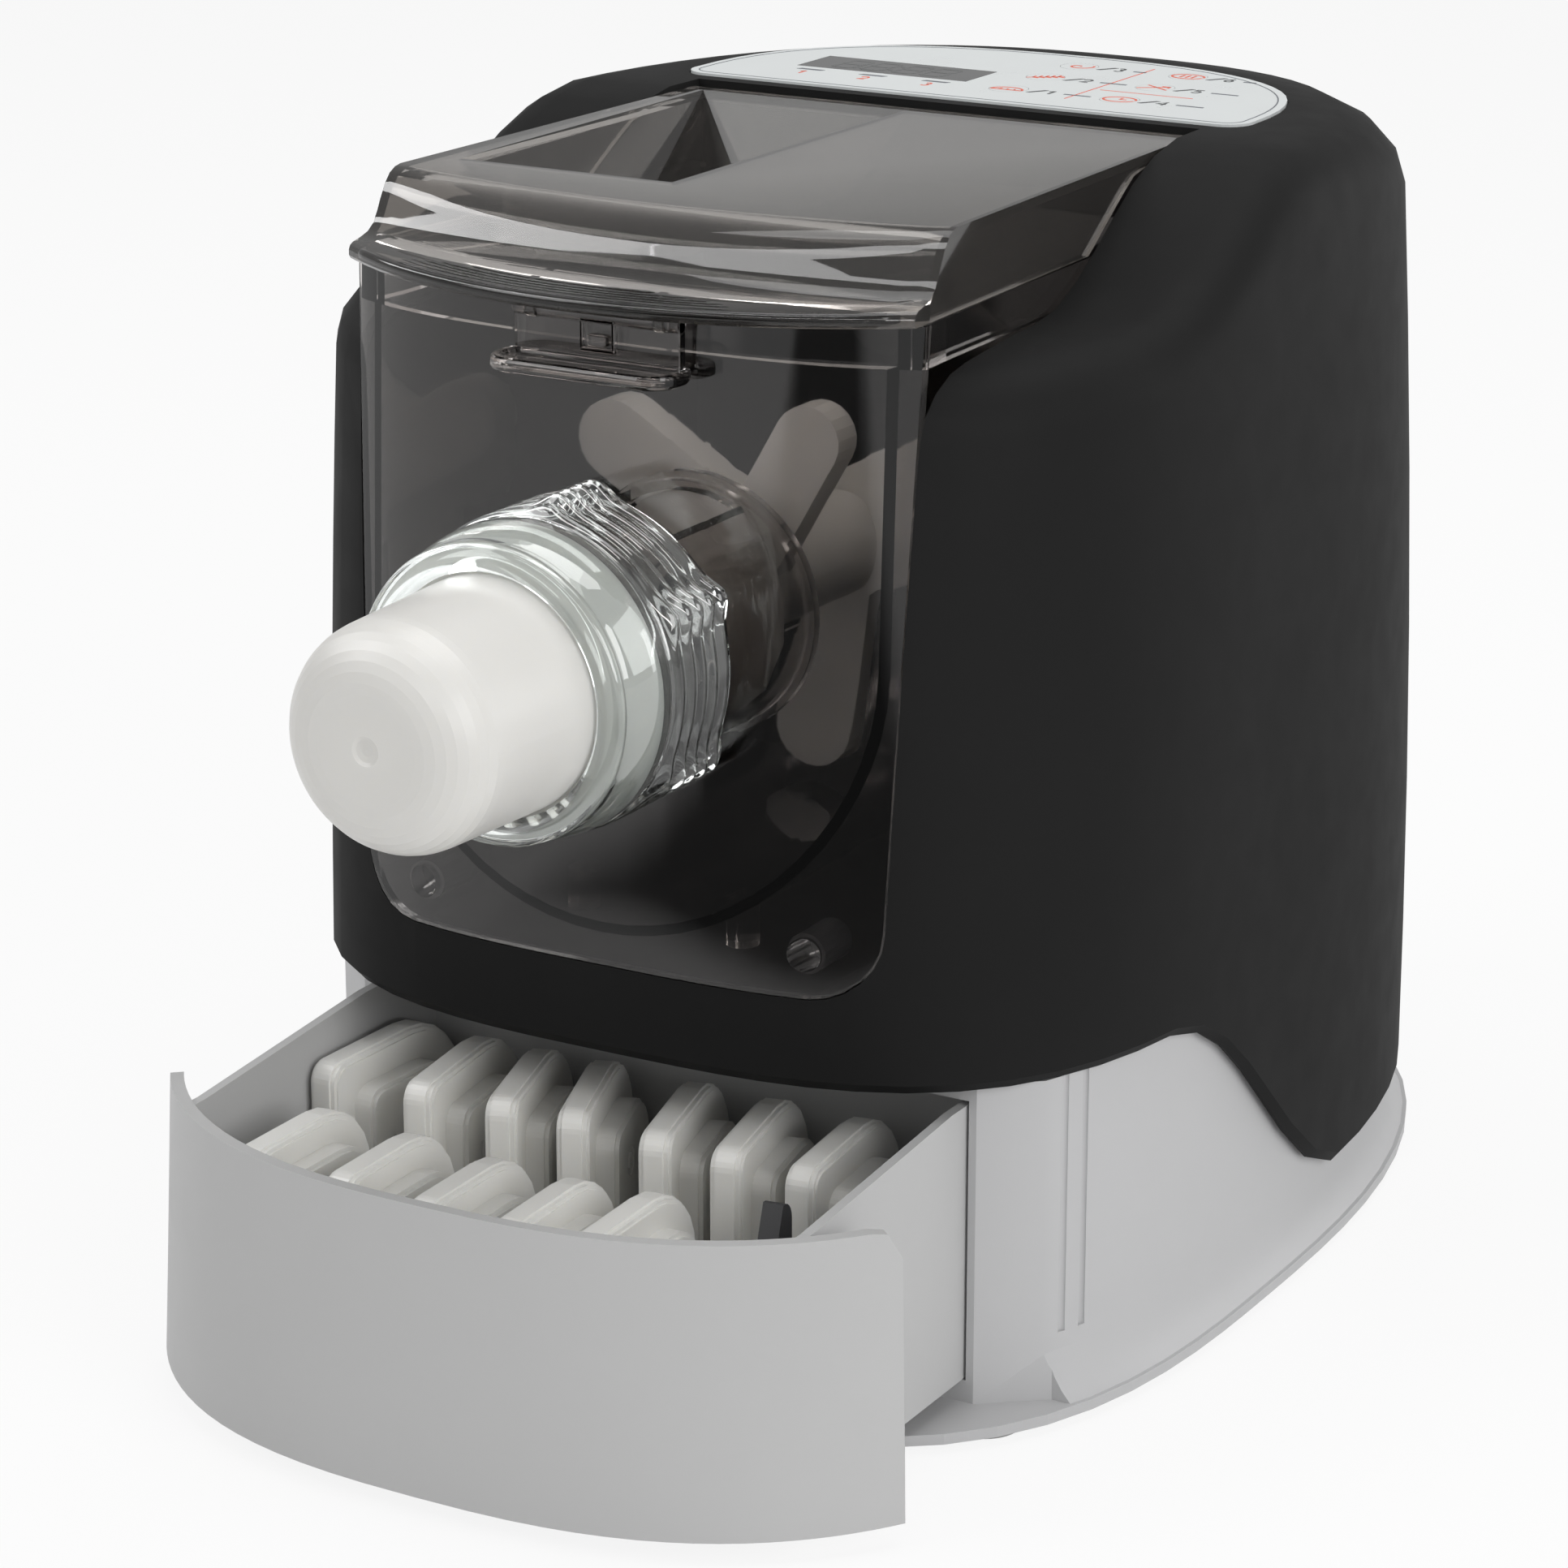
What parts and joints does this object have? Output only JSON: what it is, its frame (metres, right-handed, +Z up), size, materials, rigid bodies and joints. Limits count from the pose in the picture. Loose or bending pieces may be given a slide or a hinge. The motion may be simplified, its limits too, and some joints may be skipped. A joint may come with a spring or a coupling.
{
  "type": "electric pasta maker",
  "caption": "Kitchen machine that mixes dough in a see-through chamber and presses it through a front outlet, with a hopper lid, a control panel on top and a drawer for shaping discs.",
  "frame": {"origin": "on the surface the feet stand on, under the plane that halves the machine and under the axis of the drive shaft, 10 mm behind the widest line of the body", "axes": "+Z up, -Y towards the front with the outlet and the drawer, +X to the right seen from the front"},
  "size_m": [0.2352, 0.4134, 0.2866],
  "materials": {
    "housing_black": "satin, finely moulded",
    "base_grey": "satin",
    "foot_rubber": "matt",
    "panel_grey": "smooth",
    "display_dark": "polished",
    "board_green": "satin",
    "dark_plastic": "satin",
    "steel": "brushed",
    "smoked_clear": "polished, see-through",
    "milky_plastic": "satin",
    "clear_plastic": "polished, see-through"
  },
  "bodies": {
    "machine": {"base_plate": "base_grey", "base_screws": "steel", "base_shell": "base_grey", "bay_liner": "housing_black", "control_board": "board_green", "control_fascia": "panel_grey", "cord_gland": "foot_rubber", "display_module": "dark_plastic", "display_window": "display_dark", "extrusion_barrel": "smoked_clear", "gear_plate_front": "steel", "gear_plate_rear": "steel", "gear_spacers": "steel", "gearbox_screws": "steel", "housing_shell": "housing_black", "idler_axle": "steel", "key_switches": "dark_plastic", "lid_switch": "dark_plastic", "mixing_chamber": "smoked_clear", "motor_can": "steel", "power_board": "board_green", "rubber_feet": "foot_rubber", "shaft_bearings": "steel", "shaft_seal": "foot_rubber"},
    "rotor": {"rotor_shaft": "steel", "cooling_fan": "dark_plastic"},
    "idler": {"idler_gear": "steel"},
    "output": {"output_gear": "milky_plastic", "drive_shaft": "steel", "auger_screw": "milky_plastic", "mixing_paddle": "milky_plastic"},
    "lid": {"lid": "smoked_clear", "latch_pin": "steel"},
    "latch": {"lid_latch": "smoked_clear"},
    "outlet": {"outlet_cap": "milky_plastic"},
    "nut": {"ring_nut": "clear_plastic"},
    "drawer": {"drawer_box": "base_grey", "drawer_front": "base_grey", "die_rack": "base_grey", "die_1": "milky_plastic", "die_2": "milky_plastic", "die_3": "milky_plastic", "die_4": "milky_plastic", "die_5": "milky_plastic", "die_6": "milky_plastic", "die_7": "milky_plastic", "die_8": "milky_plastic", "die_9": "milky_plastic", "die_10": "milky_plastic", "die_11": "milky_plastic", "die_12": "milky_plastic", "cleaning_tool": "dark_plastic"},
    "key_1_body": {"key_1": "panel_grey"},
    "key_2_body": {"key_2": "panel_grey"},
    "key_3_body": {"key_3": "panel_grey"},
    "key_4_body": {"key_4": "panel_grey"},
    "key_5_body": {"key_5": "panel_grey"},
    "key_6_body": {"key_6": "panel_grey"}
  },
  "joints": [
    {"name": "rotor_spin", "type": "hinge", "parent": "machine", "child": "rotor", "pos_m": [-0.01237, 0.06, 0.10501], "axis": [0, 1, 0], "continuous": true},
    {"name": "idler_spin", "type": "hinge", "parent": "machine", "child": "idler", "pos_m": [-0.03712, 0.045, 0.14788], "axis": [0, 1, 0], "continuous": true},
    {"name": "output_spin", "type": "hinge", "parent": "machine", "child": "output", "pos_m": [0, 0.04, 0.185], "axis": [0, 1, 0], "continuous": true},
    {"name": "lid_hinge", "type": "hinge", "parent": "machine", "child": "lid", "pos_m": [0, 0.015, 0.279], "axis": [-1, 0, 0], "range_deg": [0, 100]},
    {"name": "latch_hinge", "type": "hinge", "parent": "lid", "child": "latch", "pos_m": [0, -0.13852, 0.2626], "axis": [-1, 0, 0], "range_deg": [0, 35], "stiffness_Nm_per_rad": 0.05},
    {"name": "outlet_slide", "type": "slide", "parent": "machine", "child": "outlet", "axis": [0, -1, 0], "range_m": [0, 0.008]},
    {"name": "nut_turn", "type": "hinge", "parent": "outlet", "child": "nut", "pos_m": [0, -0.16, 0.185], "axis": [0, -1, 0], "range_deg": [0, 720]},
    {"name": "drawer_slide", "type": "slide", "parent": "machine", "child": "drawer", "axis": [0, -1, 0], "range_m": [-0.067, 0.03]},
    {"name": "key_1_press", "type": "slide", "parent": "machine", "child": "key_1_body", "axis": [0, 0, -1], "range_m": [0, 0.0005], "stiffness_N_per_m": 2000},
    {"name": "key_2_press", "type": "slide", "parent": "machine", "child": "key_2_body", "axis": [0, 0, -1], "range_m": [0, 0.0005], "stiffness_N_per_m": 2000},
    {"name": "key_3_press", "type": "slide", "parent": "machine", "child": "key_3_body", "axis": [0, 0, -1], "range_m": [0, 0.0005], "stiffness_N_per_m": 2000},
    {"name": "key_4_press", "type": "slide", "parent": "machine", "child": "key_4_body", "axis": [0, 0, -1], "range_m": [0, 0.0005], "stiffness_N_per_m": 2000},
    {"name": "key_5_press", "type": "slide", "parent": "machine", "child": "key_5_body", "axis": [0, 0, -1], "range_m": [0, 0.0005], "stiffness_N_per_m": 2000},
    {"name": "key_6_press", "type": "slide", "parent": "machine", "child": "key_6_body", "axis": [0, 0, -1], "range_m": [0, 0.0005], "stiffness_N_per_m": 2000}
  ],
  "couplings": [
    {"joint": "idler_spin", "follows": "rotor_spin", "ratio": -0.22222},
    {"joint": "output_spin", "follows": "rotor_spin", "ratio": 0.055556},
    {"joint": "outlet_slide", "follows": "nut_turn", "m_per_rad": 0.00063662}
  ]
}
